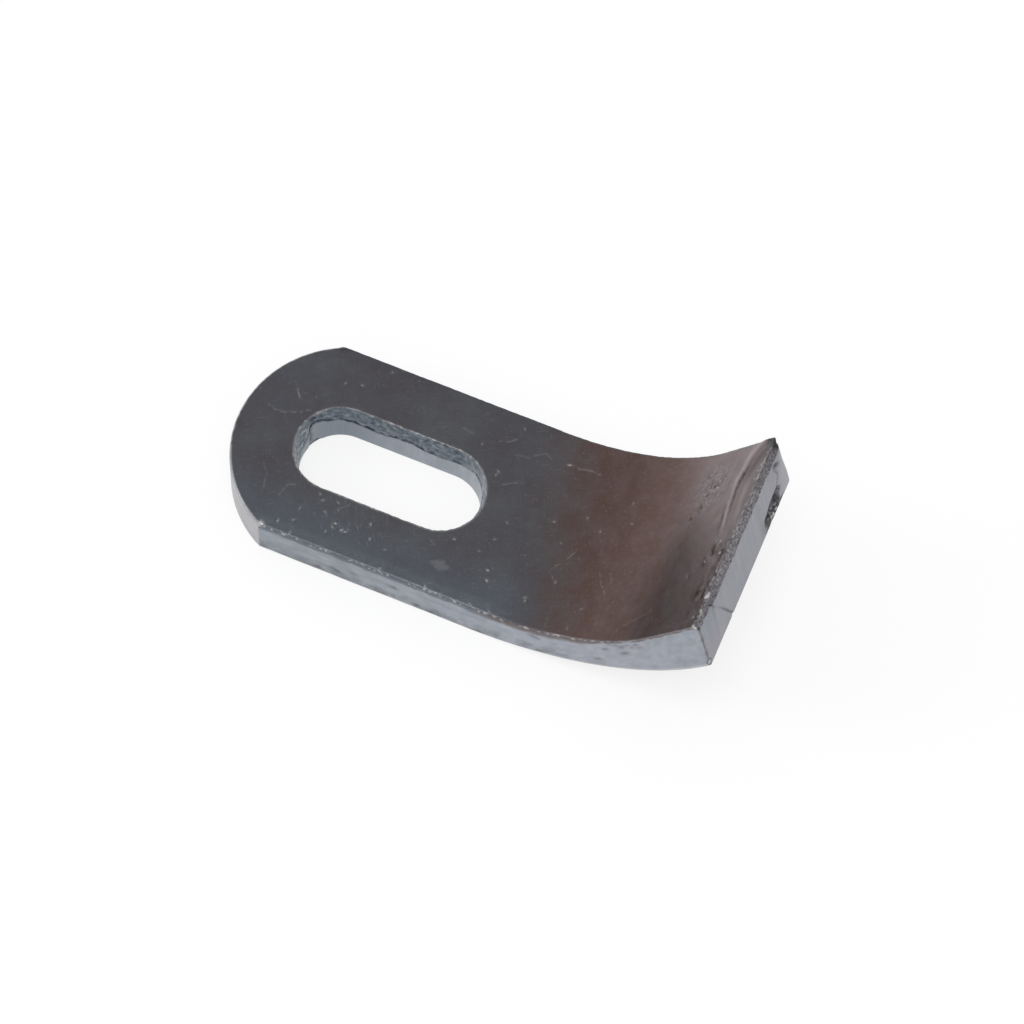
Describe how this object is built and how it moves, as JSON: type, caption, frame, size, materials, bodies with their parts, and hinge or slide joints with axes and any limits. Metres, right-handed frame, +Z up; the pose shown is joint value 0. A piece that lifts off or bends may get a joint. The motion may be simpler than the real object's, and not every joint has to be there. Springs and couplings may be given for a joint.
{
  "type": "mulcher blade",
  "caption": "Flat steel bar blade with a rounded head, a long shackle slot and an upswept scoop with a steep trimmed end.",
  "frame": {"origin": "middle of the shackle slot, on the flat underside of the shank", "axes": "+Z up, square to the flat shank, on the side that the scoop rises to; +Y along the bar from the slot to the scoop; X across the bar"},
  "size_m": [0.04, 0.1001, 0.0393],
  "materials": {
    "hot_rolled_steel": "hot-rolled scale, lightly oiled, with bare sheared edges"
  },
  "bodies": {
    "root": {"blade": "hot_rolled_steel"}
  },
  "joints": []
}
